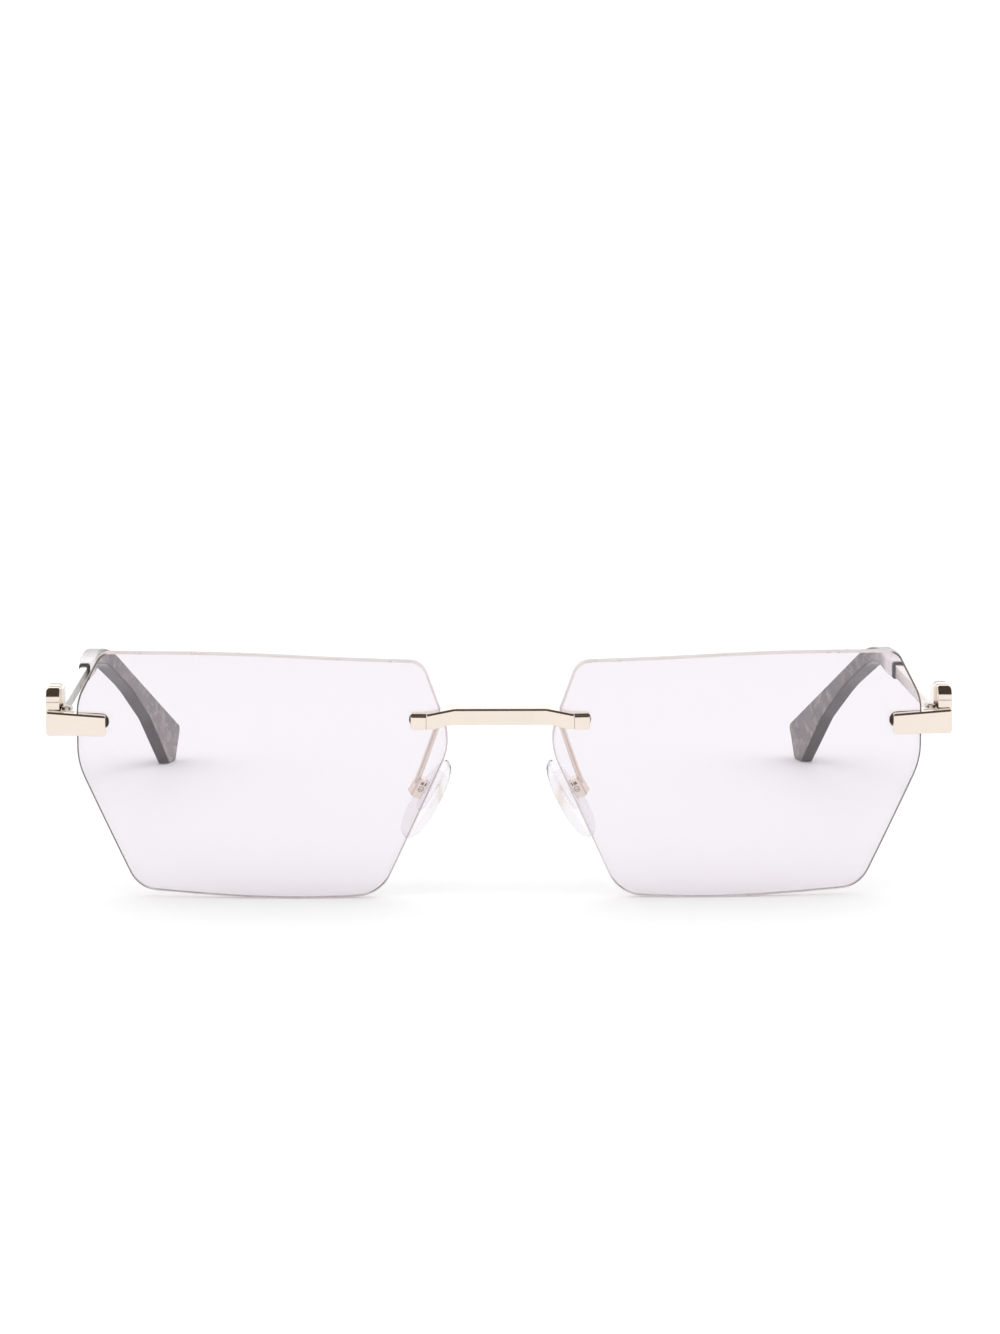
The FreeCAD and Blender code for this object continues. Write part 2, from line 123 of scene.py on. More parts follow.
# Studio
FLOOR_SIZE = 12
FLOOR_COLOUR = (0.97, 0.97, 0.97, 1)
SKY_COLOUR = (1, 1, 1, 1)
SKY_STRENGTH = 1.05
OVERHEAD_CARD = {"size": (1.4, 0.9), "place": (0, -0.1, 1.2), "turn": (0, 0, 0),
                 "colour": (0.07, 0.052, 0.04, 1)}
BACK_CARD = {"size": (4.0, 1.6), "place": (0, 2.2, 0.85), "turn": (math.pi / 2, 0, 0),
             "colour": (0.8, 0.8, 0.8, 1), "glow": 0.4}
SOFTBOX_PLACE = (0.15, -0.35, 1.0)
SOFTBOX_SIZE = (0.8, 0.5)
SOFTBOX_WATTS = 1.6

# Finishes
HAIRLINE_STRETCH = (0.06, 1.0, 1.0)
HAIRLINE_SHARE = 0.4
HAIRLINE_DEPTH = 0.00002
SKIN_DEPTH = 0.0001
EDGE_GAIN = 8.0
METAL_EDGE_WIDTH = 0.00013
LACQUER_EDGE_WIDTH = 0.00015
# Painted shade in the metal's corners and hollows, from an ambient occlusion mask
HOLLOW_SHADE_REACH = 0.0009
HOLLOW_SHADE_OPENNESS = (0.55, 0.2)  # where the painted shade starts, and where there is most of it
HOLLOW_SHADE_MOST = 0.8
PAINTED_HOLLOW_SHADE = (0.13, 0.095, 0.08, 1)
GLASS_INDEX = 1.5
LENS_TINT = (0.85, 0.81, 0.85, 1)
LENS_SHADOW = (0.93, 0.91, 0.94, 1)
RIM_GROUND = ((0.58, 0.49, 0.48, 1), (0.76, 0.68, 0.67, 1))
# Painted shade on the lens edge: darker on the side towards the temple, most of all on the bevels
RIM_PAINTED_SHADE = (0.06, 0.038, 0.033, 1)
RIM_SHADE_ON_FLAT = 0.55  # strength of the painted shade on the ground edge, where a bevel has 1
RIM_BEVEL_FACING = (0.3, 0.45)  # how far forwards or back a face points, on the edge and on a bevel
RIM_SHADE_TEMPLE_FACING = (0.22, 0.4)  # how far towards the temple, where the painted shade starts and is full
RIM_SHADOW = (0.85, 0.8, 0.8, 1)
ACETATE_STRETCH = (1.0, 0.45, 0.8)
ACETATE_STOPS = ((0.38, (0.026, 0.013, 0.017, 1)), (0.51, (0.055, 0.032, 0.037, 1)),
                 (0.66, (0.15, 0.1, 0.104, 1)))
ACETATE_STREAK = (0.28, 0.205, 0.21, 1)
ACETATE_STREAK_NOISE = (0.53, 0.66)
ACETATE_STREAK_MOST = 0.6
# Painted shade on the acetate's faces that point down
ACETATE_PAINTED_SHADE = (0.024, 0.014, 0.017, 1)
ACETATE_SHADE_FACING = (-0.1, -0.45)  # how far down a face points, where the painted shade starts and is full
ACETATE_START = (0.62, 0.55, 0.57, 1)
ACETATE_START_Y = (0.027, 0.012)  # where the pale start has ended, and where it is full


# ---------------------------------------------------------------- node helpers
def add(tree, kind, values=None, **settings):
    """New node. Values are sockets to link from, or constants, by input name or number."""
    node = tree.nodes.new(kind)
    for name, value in settings.items():
        setattr(node, name, value)
    for key, value in (values or {}).items():
        socket = node.inputs[key]
        if isinstance(value, bpy.types.NodeSocket):
            tree.links.new(value, socket)
        else:
            socket.default_value = value
    return node


def maths(tree, operation, *terms):
    """Output of a Math node."""
    return add(tree, "ShaderNodeMath", dict(enumerate(terms)), operation=operation).outputs[0]


def vectors(tree, operation, *terms):
    """Output of a Vector Math node: a number for a dot product, and otherwise a vector."""
    node = add(tree, "ShaderNodeVectorMath", dict(enumerate(terms)), operation=operation)
    return node.outputs[1 if operation == "DOT_PRODUCT" else 0]


def combine(tree, parts):
    """Vector from parts by axis number."""
    return add(tree, "ShaderNodeCombineXYZ", parts).outputs[0]


def separate(tree, vector):
    """X, Y and Z of a vector."""
    return add(tree, "ShaderNodeSeparateXYZ", {0: vector}).outputs


def remap(tree, value, start, stop, low=0.0, high=1.0):
    """Value from start to stop, turned into low to high and held there beyond."""
    return add(tree, "ShaderNodeMapRange", {"Value": value, "From Min": start, "From Max": stop,
                                            "To Min": low, "To Max": high}).outputs[0]


def new_tree(name, kind, inputs, outputs):
    """Node group with named sockets; returns it with its input and output nodes."""
    tree = bpy.data.node_groups.new(name, kind)
    for label, socket, default in inputs:
        made = tree.interface.new_socket(label, in_out="INPUT", socket_type=socket)
        if default is not None:
            made.default_value = default
    for label, socket in outputs:
        tree.interface.new_socket(label, in_out="OUTPUT", socket_type=socket)
    return tree, tree.nodes.new("NodeGroupInput"), tree.nodes.new("NodeGroupOutput")


# ---------------------------------------------------------------- shader groups
def object_place(tree):
    return add(tree, "ShaderNodeTexCoord").outputs["Object"]


def noise(tree, place, **values):
    return add(tree, "ShaderNodeTexNoise", {"Vector": place, **values}).outputs[0]


def surface_normal(tree):
    return add(tree, "ShaderNodeNewGeometry").outputs["Normal"]


def polish_marks_group():
    """Slight unevenness of a polished surface: fine hairlines and soft cloudy smears."""
    tree, start, end = new_tree(
        "polish_marks", "ShaderNodeTree",
        [("Roughness", "NodeSocketFloat", 0.2), ("Amount", "NodeSocketFloat", 0.05),
         ("Hairlines", "NodeSocketFloat", 3000.0), ("Smears", "NodeSocketFloat", 150.0)],
        [("Roughness", "NodeSocketFloat"), ("Height", "NodeSocketFloat"), ("Tone", "NodeSocketFloat")])
    given = start.outputs
    place = object_place(tree)
    along = add(tree, "ShaderNodeMapping", {"Vector": place, "Scale": HAIRLINE_STRETCH}).outputs[0]
    lines = noise(tree, along, Scale=given["Hairlines"], Detail=3.0)
    smears = noise(tree, place, Scale=given["Smears"], Detail=2.0, Distortion=0.6)
    both = maths(tree, "ADD", maths(tree, "MULTIPLY", lines, HAIRLINE_SHARE),
                 maths(tree, "MULTIPLY", smears, 1 - HAIRLINE_SHARE))
    swing = maths(tree, "MULTIPLY", maths(tree, "SUBTRACT", both, 0.5), given["Amount"])
    rough = maths(tree, "ADD", given["Roughness"], maths(tree, "MULTIPLY", swing, 2.0))
    for socket, name in ((rough, "Roughness"), (lines, "Height"), (smears, "Tone")):
        tree.links.new(socket, end.inputs[name])
    return tree


def edge_mask_group():
    """Mask of the edges and corners, where polishing and handling change a finish."""
    tree, start, end = new_tree(
        "edge_mask", "ShaderNodeTree",
        [("Width", "NodeSocketFloat", 0.0002), ("Break Up", "NodeSocketFloat", 1500.0)],
        [("Mask", "NodeSocketFloat")])
    rounded = add(tree, "ShaderNodeBevel", {"Radius": start.outputs["Width"]}, samples=4).outputs[0]
    turn = maths(tree, "SUBTRACT", 1.0, vectors(tree, "DOT_PRODUCT", rounded, surface_normal(tree)))
    broken = noise(tree, object_place(tree), Scale=start.outputs["Break Up"], Detail=4.0)
    mask = maths(tree, "MULTIPLY", maths(tree, "MULTIPLY", turn, EDGE_GAIN), broken)
    capped = add(tree, "ShaderNodeClamp", {"Value": mask}).outputs[0]
    tree.links.new(capped, end.inputs["Mask"])
    return tree


# ---------------------------------------------------------------- materials
def new_material(name, **plain):
    """Material with one Principled shader; plain values go on its own sockets."""
    material = bpy.data.materials.new(name)
    material.use_nodes = True
    tree = material.node_tree
    shader = tree.nodes["Principled BSDF"]
    for label, value in plain.items():
        shader.inputs[label.replace("_", " ")].default_value = value
    return material, tree, shader


def use(tree, group, values):
    """Outputs of a node group with these values."""
    return add(tree, "ShaderNodeGroup", values, node_tree=group).outputs


def blend_colours(tree, mask, first, second):
    return add(tree, "ShaderNodeMix", {0: mask, 6: first, 7: second}, data_type="RGBA").outputs[2]


def toned(colour, factor):
    """A colour made darker or lighter, up to white."""
    return [min(1, part * factor) for part in colour[:3]] + [1]


def relief(tree, height, strength, distance=HAIRLINE_DEPTH):
    """Normal with a fine relief on it."""
    return add(tree, "ShaderNodeBump", {"Height": height, "Strength": strength,
                                        "Distance": distance}).outputs[0]


def wire(tree, shader, **sockets):
    """Link sockets to the shader's inputs, named with underscores for spaces."""
    for label, socket in sockets.items():
        tree.links.new(socket, shader.inputs[label.replace("_", " ")])


def metal(name, colour, edge, rough, amount, bump):
    """Plated metal with hairlines, cloudy polish, darker edges and painted shade in its corners."""
    material, tree, shader = new_material(name, Metallic=1.0)
    marks = use(tree, POLISH, {"Roughness": rough, "Amount": amount})
    edges = use(tree, EDGES, {"Width": METAL_EDGE_WIDTH})
    cloudy = blend_colours(tree, marks["Tone"], colour, toned(colour, 0.93))
    edged = blend_colours(tree, edges["Mask"], cloudy, edge)
    # Painted shade: ambient occlusion darkens the colour where corners and hollows shut out light
    open_to = add(tree, "ShaderNodeAmbientOcclusion", {"Distance": HOLLOW_SHADE_REACH}, samples=8).outputs["AO"]
    hollow_shade = remap(tree, open_to, *HOLLOW_SHADE_OPENNESS, high=HOLLOW_SHADE_MOST)
    wire(tree, shader, Base_Color=blend_colours(tree, hollow_shade, edged, PAINTED_HOLLOW_SHADE), Roughness=marks["Roughness"],
         Normal=relief(tree, marks["Height"], bump))
    return material


def lets_light_through(material, tree, shader, shadow):
    """Glass that lamps shine through, so that it casts only a faint shadow."""
    light = add(tree, "ShaderNodeLightPath")
    clear = add(tree, "ShaderNodeBsdfTransparent", {"Color": shadow})
    mix = add(tree, "ShaderNodeMixShader", {0: light.outputs["Is Shadow Ray"], 1: shader.outputs[0],
                                            2: clear.outputs[0]})
    tree.links.new(mix.outputs[0], tree.nodes["Material Output"].inputs["Surface"])
    return material


def lens_face():
    """Polished lens, very pale lilac, with the faintest wiped smears."""
    material, tree, shader = new_material("lens_face", Transmission_Weight=1.0, IOR=GLASS_INDEX,
                                          Base_Color=LENS_TINT)
    marks = use(tree, POLISH, {"Roughness": 0.006, "Amount": 0.012, "Smears": 60.0})
    wire(tree, shader, Roughness=marks["Roughness"])
    return lets_light_through(material, tree, shader, LENS_SHADOW)


def lens_rim():
    """Ground and buffed edge of the lens: satin and rosy, with painted shade on the side towards the temple,
    strongest on its bevels.
    """
    material, tree, shader = new_material("lens_rim", Transmission_Weight=0.5, IOR=GLASS_INDEX)
    marks = use(tree, POLISH, {"Roughness": 0.3, "Amount": 0.12, "Hairlines": 5000.0, "Smears": 260.0})
    ground = blend_colours(tree, marks["Tone"], *RIM_GROUND)
    facing = separate(tree, surface_normal(tree))
    place = separate(tree, object_place(tree))
    # Painted shade, from which way the faces of the edge point
    bevelled = remap(tree, maths(tree, "ABSOLUTE", facing[1]), *RIM_BEVEL_FACING)
    outwards = maths(tree, "MULTIPLY", maths(tree, "SIGN", place[0]), facing[0])
    temporal = remap(tree, outwards, *RIM_SHADE_TEMPLE_FACING)
    dark = maths(tree, "MULTIPLY", remap(tree, bevelled, 0.0, 1.0, low=RIM_SHADE_ON_FLAT), temporal)
    wire(tree, shader, Base_Color=blend_colours(tree, dark, ground, RIM_PAINTED_SHADE), Roughness=marks["Roughness"],
         Normal=relief(tree, marks["Height"], 0.25))
    return lets_light_through(material, tree, shader, RIM_SHADOW)


def clear_plastic(name, colour, index, rough, amount, shadow):
    """Clear silicone or plastic with a slightly uneven skin."""
    material, tree, shader = new_material(name, Transmission_Weight=1.0, IOR=index, Base_Color=colour)
    marks = use(tree, POLISH, {"Roughness": rough, "Amount": amount, "Hairlines": 1500.0, "Smears": 400.0})
    wire(tree, shader, Roughness=marks["Roughness"], Normal=relief(tree, marks["Tone"], 0.15, SKIN_DEPTH))
    return lets_light_through(material, tree, shader, shadow)


def acetate():
    """Polished grey-brown acetate with soft dark clouds and paler streaks, painted shade on faces that point
    down, and pale where it starts.
    """
    material, tree, shader = new_material("acetate", Coat_Weight=0.2, Coat_Roughness=0.06,
                                          Specular_IOR_Level=0.35)
    place = object_place(tree)
    drawn = add(tree, "ShaderNodeMapping", {"Vector": place, "Scale": ACETATE_STRETCH}).outputs[0]
    clouds = noise(tree, drawn, Scale=260.0, Detail=3.0, Distortion=1.4)
    streaks = noise(tree, drawn, Scale=620.0, Detail=2.0, Distortion=0.8)
    ramp = add(tree, "ShaderNodeValToRGB", {"Fac": clouds})
    while len(ramp.color_ramp.elements) < len(ACETATE_STOPS):
        ramp.color_ramp.elements.new(0.5)
    for element, (position, colour) in zip(ramp.color_ramp.elements, ACETATE_STOPS):
        element.position = position
        element.color = colour
    pale = remap(tree, streaks, *ACETATE_STREAK_NOISE, high=ACETATE_STREAK_MOST)
    mottled = blend_colours(tree, pale, ramp.outputs[0], ACETATE_STREAK)
    # Painted shade: faces that point down are darkened
    under = remap(tree, separate(tree, surface_normal(tree))[2], *ACETATE_SHADE_FACING)
    deep = blend_colours(tree, under, mottled, ACETATE_PAINTED_SHADE)
    start = remap(tree, separate(tree, place)[1], *ACETATE_START_Y)
    marks = use(tree, POLISH, {"Roughness": 0.2, "Amount": 0.06, "Hairlines": 2500.0})
    wire(tree, shader, Base_Color=blend_colours(tree, start, deep, ACETATE_START),
         Roughness=marks["Roughness"], Normal=relief(tree, marks["Height"], 0.08))
    return material


def lacquer(name, colour, rough):
    """Opaque coated finish with cloudy polish and paler edges."""
    material, tree, shader = new_material(name, Coat_Weight=0.5)
    marks = use(tree, POLISH, {"Roughness": rough, "Amount": 0.08})
    edges = use(tree, EDGES, {"Width": LACQUER_EDGE_WIDTH})
    cloudy = blend_colours(tree, marks["Tone"], colour, [part * 1.5 for part in colour[:3]] + [1])
    base = blend_colours(tree, edges["Mask"], cloudy, toned(colour, 3))
    wire(tree, shader, Base_Color=base, Roughness=marks["Roughness"])
    return material


POLISH = polish_marks_group()
EDGES = edge_mask_group()
GOLD = metal("champagne_gold", (0.845, 0.752, 0.668, 1), (0.52, 0.44, 0.40, 1), 0.12, 0.05, 0.12)
STEEL = metal("screw_steel", (0.78, 0.72, 0.66, 1), (0.45, 0.40, 0.37, 1), 0.24, 0.1, 0.3)
LENS_FACE = lens_face()
LENS_RIM = lens_rim()
SILICONE = clear_plastic("clear_silicone", (0.91, 0.885, 0.91, 1), 1.2, 0.12, 0.06, (0.93, 0.92, 0.93, 1))
PAD_CORE = clear_plastic("pad_core_plastic", (0.93, 0.91, 0.93, 1), 1.06, 0.08, 0.04, (0.9, 0.89, 0.9, 1))
SLEEVE = clear_plastic("sleeve_plastic", (0.9, 0.9, 0.91, 1), 1.3, 0.1, 0.04, (0.85, 0.85, 0.85, 1))
ACETATE = acetate()
BLACK = lacquer("black_lacquer", (0.02, 0.017, 0.016, 1), 0.25)
NYLON = lacquer("nylon", (0.75, 0.73, 0.68, 1), 0.5)
PAINT = {"gold_metal": GOLD, "dark_ring": BLACK, "acetate": ACETATE, "pad_core_plastic": PAD_CORE,
         "clear_sleeve": SLEEVE, "nylon_washer": NYLON}


# ---------------------------------------------------------------- mesh helpers
def linked(name, mesh):
    """New object in the scene."""
    piece = bpy.data.objects.new(name, mesh)
    bpy.context.scene.collection.objects.link(piece)
    return piece


def plain_mesh(piece):
    """Apply the piece's modifiers to its mesh and take them off."""
    bpy.context.view_layer.update()
    evaluated = piece.evaluated_get(bpy.context.evaluated_depsgraph_get())
    mesh = bpy.data.meshes.new_from_object(evaluated)
    piece.modifiers.clear()
    piece.data = mesh


def smooth_faces(mesh, sharp_angle):
    """Smooth shading, except across edges sharper than an angle in degrees."""
    for face in mesh.polygons:
        face.use_smooth = True
    mesh.set_sharp_from_angle(angle=math.radians(sharp_angle))


def outward(mesh):
    """Merge what meets and turn every face outwards."""
    shape = bmesh.new()
    shape.from_mesh(mesh)
    bmesh.ops.remove_doubles(shape, verts=shape.verts, dist=1e-7)
    bmesh.ops.recalc_face_normals(shape, faces=shape.faces)
    shape.to_mesh(mesh)
    shape.free()


def grown(name, tree, values, source=None):
    """Plain mesh piece that a Geometry Nodes tree makes."""
    piece = linked(name, source or bpy.data.meshes.new(name))
    modifier = piece.modifiers.new("shape", "NODES")
    modifier.node_group = tree
    for label, value in values.items():
        modifier[tree.interface.items_tree[label].identifier] = value
    plain_mesh(piece)
    return piece


def finish_piece(piece, node):
    """Ride on the node's body and stand for the node."""
    body = frame["nodes"][node]["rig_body"]
    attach(piece, body)
    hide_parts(node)


def node_points(node):
    return [vertex.co for vertex in frame["nodes"][node].data.vertices]


def box_middle(points):
    """Middle of the box round some points."""
    return Vector([(min(p[i] for p in points) + max(p[i] for p in points)) / 2 for i in range(3)])


# ---------------------------------------------------------------- lenses
def lens_tree():
    """Meniscus lens: a polar grid stretched to the outline and laid on two balls of one centre.

    The grid runs round the lens along X, and along Y from the middle of the front, out over the
    edge and back in to the middle of the back. Its two middle rows are the ground edge, and the
    rows next to them stop short of it, which leaves the safety bevels.
    """
    tree, start, end = new_tree(
        "meniscus_lens", "GeometryNodeTree",
        [("Geometry", "NodeSocketGeometry", None), ("Middle", "NodeSocketVector", None),
         ("Ball Centre", "NodeSocketVector", None), ("Ball Radius", "NodeSocketFloat", None),
         ("Thickness", "NodeSocketFloat", None), ("Safety Bevel", "NodeSocketFloat", 0.0085),
         ("Around", "NodeSocketInt", 480), ("Rows", "NodeSocketInt", 24),
         ("Face", "NodeSocketMaterial", None), ("Rim", "NodeSocketMaterial", None)],
        [("Geometry", "NodeSocketGeometry")])
    given = start.outputs

    # The outline, with its corners rounded
    curve = add(tree, "GeometryNodeMeshToCurve", {0: given["Geometry"]}).outputs[0]
    corner = add(tree, "GeometryNodeInputNamedAttribute", {"Name": "corner"}, data_type="FLOAT").outputs[0]
    outline = add(tree, "GeometryNodeFilletCurve", {"Curve": curve, "Radius": corner, "Count": 16},
                  mode="POLY").outputs[0]

    # Where each grid point is: its share of the way round, its row, and how far out it reaches
    around = maths(tree, "ADD", given["Around"], 1.0)
    grid = add(tree, "GeometryNodeMeshGrid", {"Size X": 1.0, "Size Y": 1.0, "Vertices X": around,
                                              "Vertices Y": given["Rows"]}).outputs["Mesh"]
    spot = separate(tree, add(tree, "GeometryNodeInputPosition").outputs[0])
    share = maths(tree, "ADD", spot[0], 0.5)
    side = maths(tree, "MULTIPLY", spot[1], 2.0)
    away = maths(tree, "ABSOLUTE", side)
    step = maths(tree, "DIVIDE", 1.0, maths(tree, "SUBTRACT", given["Rows"], 1.0))
    on_rim = maths(tree, "LESS_THAN", away, maths(tree, "MULTIPLY", step, 2.0))
    first = maths(tree, "SUBTRACT", 1.0, maths(tree, "MULTIPLY", step, 3.0))
    inside = maths(tree, "DIVIDE", maths(tree, "SUBTRACT", 1.0, away), first)
    inside = maths(tree, "MULTIPLY", maths(tree, "MINIMUM", inside, 1.0),
                   maths(tree, "SUBTRACT", 1.0, given["Safety Bevel"]))
    reach = maths(tree, "MAXIMUM", inside, on_rim)
    behind = maths(tree, "GREATER_THAN", side, 0.0)
    nudge = maths(tree, "MULTIPLY", on_rim, maths(tree, "SUBTRACT", 0.5, behind))
    depth = maths(tree, "ADD", behind, maths(tree, "MULTIPLY", nudge, BEVEL_DEPTH))

    # Out to the outline, and back to the front ball or the back one
    edge = add(tree, "GeometryNodeSampleCurve", {"Curves": outline, "Factor": share}, mode="FACTOR")
    spoke = vectors(tree, "SUBTRACT", edge.outputs["Position"], given["Middle"])
    spoke = add(tree, "ShaderNodeVectorMath", {0: spoke, "Scale": reach}, operation="SCALE").outputs[0]
    flat = separate(tree, vectors(tree, "ADD", given["Middle"], spoke))
    ball = separate(tree, given["Ball Centre"])
    across = maths(tree, "SUBTRACT", flat[0], ball[0])
    tall = maths(tree, "SUBTRACT", flat[2], ball[2])
    radius = maths(tree, "SUBTRACT", given["Ball Radius"], maths(tree, "MULTIPLY", depth, given["Thickness"]))
    square = maths(tree, "SUBTRACT", maths(tree, "MULTIPLY", radius, radius),
                   maths(tree, "ADD", maths(tree, "MULTIPLY", across, across),
                         maths(tree, "MULTIPLY", tall, tall)))
    back = maths(tree, "SUBTRACT", ball[1], maths(tree, "SQRT", square))
    target = combine(tree, {0: flat[0], 1: back, 2: flat[2]})

    # The mesh, with the rim's material on the ground edge and its bevels
    kept = add(tree, "GeometryNodeCaptureAttribute", {"Geometry": grid}, domain="POINT")
    kept.capture_items.new("FLOAT", "on_rim")
    tree.links.new(on_rim, kept.inputs["on_rim"])
    laid = add(tree, "GeometryNodeSetPosition", {0: kept.outputs[0], "Position": target}).outputs[0]
    closed = add(tree, "GeometryNodeMergeByDistance", {"Geometry": laid, "Distance": 1e-6}).outputs[0]
    faced = add(tree, "GeometryNodeSetMaterial", {"Geometry": closed, "Material": given["Face"]}).outputs[0]
    mostly = maths(tree, "GREATER_THAN", kept.outputs["on_rim"], 0.4)
    rimmed = add(tree, "GeometryNodeSetMaterial", {"Geometry": faced, "Selection": mostly,
                                                   "Material": given["Rim"]}).outputs[0]
    done = add(tree, "GeometryNodeRealizeInstances", {0: rimmed}).outputs[0]
    tree.links.new(done, end.inputs[0])
    return tree


def outline_mesh():
    """Corners of the lens outline as a closed loop, each with its corner radius."""
    mesh = bpy.data.meshes.new("lens_outline")
    corners = [Vector((x, 0, z)) * MM for x, z, _ in LENS_OUTLINE]
    count = len(corners)
    mesh.from_pydata(corners, [(i, (i + 1) % count) for i in range(count)], [])
    radii = mesh.attributes.new("corner", "FLOAT", "POINT")
    radii.data.foreach_set("value", [radius * MM for _, _, radius in LENS_OUTLINE])
    return mesh


def upright_lens(name):
    """The left lens before its lean."""
    return grown(name, lens_tree(), {"Middle": LENS_MIDDLE * MM, "Ball Centre": BALL_CENTRE * MM,
                                     "Ball Radius": BALL_RADIUS * MM, "Thickness": LENS_THICK * MM,
                                     "Face": LENS_FACE, "Rim": LENS_RIM}, outline_mesh())


def stand_matrix(mesh):
    """Placement of the front: leaned, then set where the frame has its left lens."""
    lean = Matrix.Rotation(LEAN, 4, "X")
    leaned = mesh.copy()
    leaned.transform(lean)
    low = Vector([min(vertex.co[i] for vertex in leaned.vertices) for i in range(3)])
    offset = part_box("lens_left")[0] - low
    return Matrix.Translation((0, offset.y, offset.z)) @ lean


def drill(piece, place, direction):
    """Hole through the lens."""
    bpy.ops.mesh.primitive_cylinder_add(vertices=48, radius=HOLE_RADIUS * MM, depth=HOLE_CUTTER_LENGTH * MM,
                                        location=place, rotation=UP.rotation_difference(direction).to_euler())
    cutter = bpy.context.object
    hole = piece.modifiers.new("hole", "BOOLEAN")
    hole.object = cutter
    hole.solver = "EXACT"
    plain_mesh(piece)
    bpy.data.objects.remove(cutter)


def loose_parts(node):
    """Points of each of a node's separate solids."""
    shape = bmesh.new()
    shape.from_mesh(frame["nodes"][node].data)
    bmesh.ops.remove_doubles(shape, verts=shape.verts, dist=1e-6)
    left = set(shape.verts)
    clouds = []
    while left:
        cloud = set()
        waiting = [left.pop()]
        while waiting:
            vertex = waiting.pop()
            cloud.add(vertex)
            for edge in vertex.link_edges:
                other = edge.other_vert(vertex)
                if other in left:
                    left.discard(other)
                    waiting.append(other)
        clouds.append([vertex.co.copy() for vertex in cloud])
    shape.free()
    return clouds


def lens_normal(place, side):
    """Direction out of the back of the lens at a place on it, to the centre of its ball."""
    centre = STAND @ (BALL_CENTRE * MM)
    if side == "right":
        centre.x = -centre.x
    return (centre - place).normalized()


def make_lens(side, mesh):
    """Lens with a hole round each of its sleeves."""
    node = "lens_" + side
    mesh = mesh.copy()
    mesh.transform(STAND)
    if side == "right":
        mesh.transform(MIRROR)
    outward(mesh)
    piece = linked(node + "_finished", mesh)
    for sleeve in loose_parts("lens_sleeves_" + side):
        place = box_middle(sleeve)
        drill(piece, place, lens_normal(place, side))
    smooth_faces(piece.data, LENS_SHARP_ANGLE)
    finish_piece(piece, node)


# ---------------------------------------------------------------- nose pads
def pad_frame(side):
    """Placement of a nose pad: its width is X, the way it faces is Y and its length is Z."""
    facing = PAD_FACING.normalized()
    up = (PAD_UP - facing * PAD_UP.dot(facing)).normalized()
    width = facing.cross(up)
    turn = Matrix((width, facing, up)).transposed().to_4x4()
    place = STAND @ Matrix.Translation(PAD_CENTRE * MM) @ turn
    if side == "right":
        place = MIRROR @ place
    return place


def pad_ring(shape, reach, thick):
    """One ring of the pad's points, or only its middle point where it reaches nowhere."""
    ring = []
    power = 2 / PAD_SQUARENESS
    for i in range(PAD_AROUND if reach else 1):
        angle = 2 * math.pi * i / PAD_AROUND
        c, s = math.cos(angle), math.sin(angle)
        half_width = PAD_HALF_WIDTH - PAD_TAPER * s
        x = half_width * math.copysign(abs(c) ** power, c) * reach
        z = PAD_HALF_LENGTH * math.copysign(abs(s) ** power, s) * reach
        hollow = PAD_HOLLOW * (z / PAD_HALF_LENGTH) ** 2 if thick > 0 else 0.0
        ring.append(shape.verts.new(Vector((x, thick - hollow, z)) * MM))
    return ring


def nose_pad(side):
    """Soft drop-shaped pad, crowned on both faces and wider at its foot."""
    node = "nose_pad_" + side
    shape = bmesh.new()
    rings = [pad_ring(shape, reach, thick) for reach, thick in PAD_SECTION]
    for near, far in zip(rings, rings[1:]):
        for i in range(PAD_AROUND):
            corners = [near[i % len(near)], near[(i + 1) % len(near)],
                       far[(i + 1) % len(far)], far[i % len(far)]]
            shape.faces.new(list(dict.fromkeys(corners)))
    bmesh.ops.recalc_face_normals(shape, faces=shape.faces)
    mesh = bpy.data.meshes.new("nose_pad")
    shape.to_mesh(mesh)
    shape.free()
    mesh.transform(pad_frame(side))
    outward(mesh)
    piece = linked(node + "_finished", mesh)
    smooth = piece.modifiers.new("smooth", "SUBSURF")
    smooth.levels = 1
    smooth.render_levels = 1
    plain_mesh(piece)
    smooth_faces(piece.data, PAD_SHARP_ANGLE)
    piece.data.materials.append(SILICONE)
    finish_piece(piece, node)


